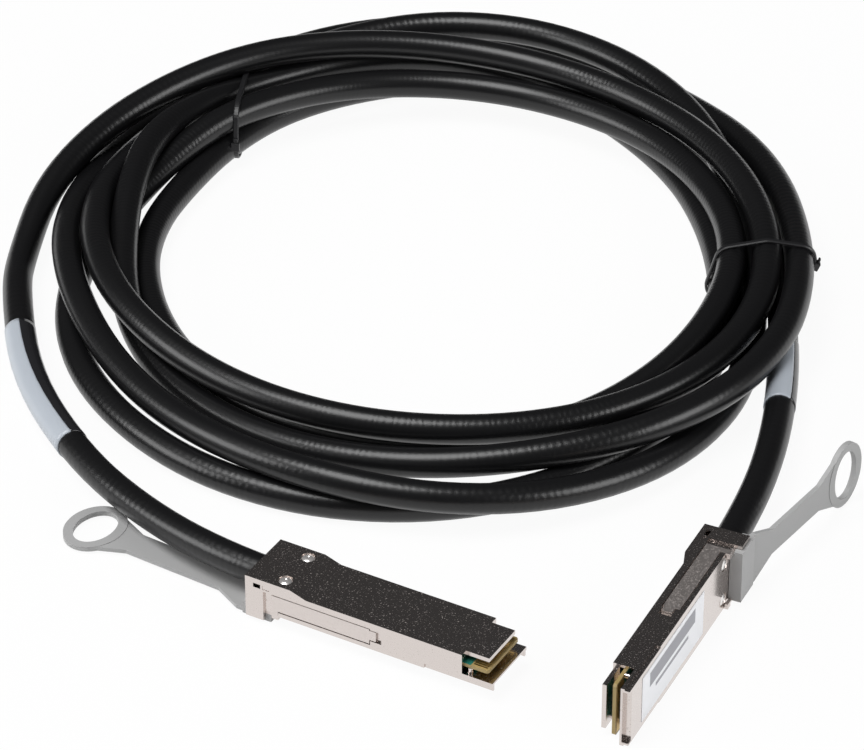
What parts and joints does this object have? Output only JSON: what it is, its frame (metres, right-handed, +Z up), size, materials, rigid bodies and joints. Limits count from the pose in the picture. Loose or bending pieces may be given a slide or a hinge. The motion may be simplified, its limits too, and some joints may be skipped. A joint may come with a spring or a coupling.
{
  "type": "direct attach copper cable",
  "caption": "Direct attach copper cable: two flat metal plugs with grey pull tabs and a card edge, joined by one thick black cable lying in a tied, loose coil.",
  "frame": {"origin": "on the floor, under the middle of the box round both plugs with their pull tabs; the free cable isn't counted", "axes": "+X along the row of the two plugs, from plug a towards plug b; +Y from the plugs towards the coil; +Z up from the floor"},
  "size_m": [0.2437, 0.354, 0.0214],
  "materials": {
    "nickel": "satin nickel plate on die-cast zinc",
    "board": "solder mask over glass laminate, tan at the bare edge",
    "gold": "gold plated",
    "spring_steel": "rolled stainless sheet",
    "grey_plastic": "fine matte",
    "rivet_steel": "polished head",
    "tinned": "tinned copper",
    "pair_foil": "foil wrapped pairs",
    "paper": "coated label stock, blank",
    "jacket": "black PVC with a fine ribbed grain",
    "tie_nylon": "black nylon"
  },
  "bodies": {
    "cable": {"lower_shell_a": "nickel", "upper_shell_a": "nickel", "paddle_card_a": "board", "contact_pads_a": "gold", "crimp_ferrule_a": "tinned", "wire_pairs_a": "pair_foil", "plug_label_a": "paper", "rivet_a1": "rivet_steel", "rivet_a2": "rivet_steel", "lower_shell_b": "nickel", "upper_shell_b": "nickel", "paddle_card_b": "board", "contact_pads_b": "gold", "crimp_ferrule_b": "tinned", "wire_pairs_b": "pair_foil", "plug_label_b": "paper", "rivet_b1": "rivet_steel", "rivet_b2": "rivet_steel", "cable_lead_a": "jacket", "cable_coil": "jacket", "cable_lead_b": "jacket", "cable_label_a": "paper", "cable_label_b": "paper", "cable_tie_left": "tie_nylon", "cable_tie_right": "tie_nylon"},
    "latch_a": {"latch_arms_a": "spring_steel", "pull_tab_a": "grey_plastic"},
    "latch_b": {"latch_arms_b": "spring_steel", "pull_tab_b": "grey_plastic"}
  },
  "joints": [
    {"name": "latch_slide_a", "type": "slide", "parent": "cable", "child": "latch_a", "axis": [-0.8686, 0.4955, 0], "range_m": [0, 0.0022], "stiffness_N_per_m": 300},
    {"name": "latch_slide_b", "type": "slide", "parent": "cable", "child": "latch_b", "axis": [0.4226, 0.9063, 0], "range_m": [0, 0.0022], "stiffness_N_per_m": 300}
  ]
}
